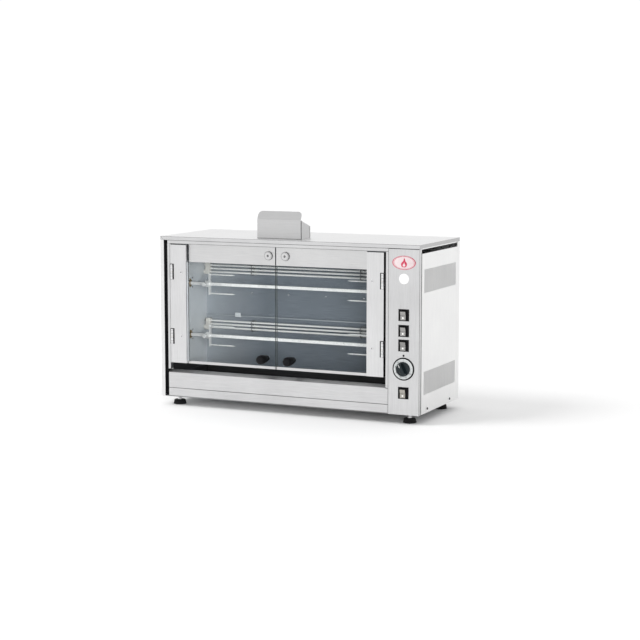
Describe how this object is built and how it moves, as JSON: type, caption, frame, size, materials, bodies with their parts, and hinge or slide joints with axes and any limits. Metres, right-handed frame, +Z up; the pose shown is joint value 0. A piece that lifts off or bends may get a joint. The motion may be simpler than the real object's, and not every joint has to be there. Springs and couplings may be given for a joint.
{
  "type": "rotisserie oven",
  "caption": "Countertop rotisserie oven: steel case with hinged glass doors, turning spits and forks, tube heaters, drip drawer, flue and a control column.",
  "frame": {"origin": "middle of the standing footprint, on the surface that the feet stand on", "axes": "+X to the right across the front, +Y from the front to the back, +Z up"},
  "size_m": [0.953, 0.432, 0.676],
  "materials": {
    "brushed_case": "fine horizontal brushing, satin",
    "door_steel": "fine brushing, satin",
    "cavity_steel": "heat-dulled sheet",
    "polished_steel": "polished",
    "element_sheath": "heat-toned sheath",
    "bronze": "sintered bush",
    "motor_casing": "semi-matt",
    "door_glass": "clear toughened",
    "black_rubber": "matt",
    "black_plastic": "satin moulding",
    "knob_plastic": "satin moulding",
    "dial_plate": "printed scale",
    "rocker_plastic": "translucent grey",
    "pilot_lens": "dark lens"
  },
  "bodies": {
    "case": {"base_front_rail": "brushed_case", "base_pan": "cavity_steel", "cable_gland": "black_plastic", "cavity_back_wall": "cavity_steel", "cavity_left_wall": "cavity_steel", "cavity_right_wall": "cavity_steel", "cavity_roof": "cavity_steel", "chimney_body": "brushed_case", "chimney_front": "brushed_case", "control_panel": "brushed_case", "element_brackets": "cavity_steel", "foot_studs": "polished_steel", "frame_hinges": "polished_steel", "gearmotors": "motor_casing", "header_rail": "brushed_case", "heating_elements": "element_sheath", "left_jamb": "brushed_case", "left_side_panel": "brushed_case", "panel_screws": "polished_steel", "pilot_lamp": "pilot_lens", "rear_panel": "brushed_case", "right_jamb": "brushed_case", "right_side_panel": "brushed_case", "rocker_frames": "black_plastic", "rubber_feet": "black_rubber", "spit_bearings": "bronze", "thermostat_body": "black_plastic", "top_cover": "brushed_case", "tray_shelf": "cavity_steel"},
    "left_door": {"left_door_stile": "door_steel", "left_door_glass": "door_glass", "left_door_top_rail": "door_steel", "left_door_bottom_trim": "door_steel", "left_door_handle": "black_plastic", "left_door_screws": "polished_steel", "left_door_knuckles": "polished_steel"},
    "right_door": {"right_door_stile": "door_steel", "right_door_glass": "door_glass", "right_door_top_rail": "door_steel", "right_door_bottom_trim": "door_steel", "right_door_handle": "black_plastic", "right_door_screws": "polished_steel", "right_door_knuckles": "polished_steel"},
    "left_lock": {"left_door_lock": "polished_steel"},
    "right_lock": {"right_door_lock": "polished_steel"},
    "drip_drawer": {"drawer_front": "brushed_case", "drawer_lip": "brushed_case", "drip_tray": "cavity_steel"},
    "upper_rotisserie": {"upper_spit": "polished_steel", "upper_spit_forks": "polished_steel", "upper_drive_socket": "polished_steel"},
    "lower_rotisserie": {"lower_spit": "polished_steel", "lower_spit_forks": "polished_steel", "lower_drive_socket": "polished_steel"},
    "thermostat": {"thermostat_knob": "knob_plastic", "dial_disc": "dial_plate"},
    "rocker_switch_1": {"rocker_1": "rocker_plastic"},
    "rocker_switch_2": {"rocker_2": "rocker_plastic"},
    "rocker_switch_3": {"rocker_3": "rocker_plastic"},
    "rocker_switch_4": {"rocker_4": "rocker_plastic"}
  },
  "joints": [
    {"name": "left_door_hinge", "type": "hinge", "parent": "case", "child": "left_door", "pos_m": [-0.432, -0.17, 0.352], "axis": [0, 0, -1], "range_deg": [0, 110]},
    {"name": "right_door_hinge", "type": "hinge", "parent": "case", "child": "right_door", "pos_m": [0.3473, -0.17, 0.352], "axis": [0, 0, 1], "range_deg": [0, 110]},
    {"name": "left_lock_turn", "type": "hinge", "parent": "left_door", "child": "left_lock", "pos_m": [-0.0694, -0.159, 0.53], "axis": [0, 1, 0], "range_deg": [0, 90]},
    {"name": "right_lock_turn", "type": "hinge", "parent": "right_door", "child": "right_lock", "pos_m": [-0.0074, -0.159, 0.53], "axis": [0, -1, 0], "range_deg": [0, 90]},
    {"name": "drawer_slide", "type": "slide", "parent": "case", "child": "drip_drawer", "axis": [0, -1, 0], "range_m": [0, 0.235]},
    {"name": "upper_spit_turn", "type": "hinge", "parent": "case", "child": "upper_rotisserie", "pos_m": [-0.043, -0.036, 0.4125], "axis": [1, 0, 0], "continuous": true},
    {"name": "lower_spit_turn", "type": "hinge", "parent": "case", "child": "lower_rotisserie", "pos_m": [-0.043, -0.036, 0.232], "axis": [1, 0, 0], "continuous": true},
    {"name": "thermostat_turn", "type": "hinge", "parent": "case", "child": "thermostat", "pos_m": [0.4215, -0.169, 0.1824], "axis": [0, 1, 0], "range_deg": [0, 280]},
    {"name": "rocker_1_tip", "type": "hinge", "parent": "case", "child": "rocker_switch_1", "pos_m": [0.4215, -0.165, 0.3575], "axis": [-1, 0, 0], "range_deg": [0, 14]},
    {"name": "rocker_2_tip", "type": "hinge", "parent": "case", "child": "rocker_switch_2", "pos_m": [0.4215, -0.165, 0.3063], "axis": [-1, 0, 0], "range_deg": [0, 14]},
    {"name": "rocker_3_tip", "type": "hinge", "parent": "case", "child": "rocker_switch_3", "pos_m": [0.4215, -0.165, 0.2588], "axis": [-1, 0, 0], "range_deg": [0, 14]},
    {"name": "rocker_4_tip", "type": "hinge", "parent": "case", "child": "rocker_switch_4", "pos_m": [0.4215, -0.165, 0.104], "axis": [-1, 0, 0], "range_deg": [0, 14]}
  ]
}
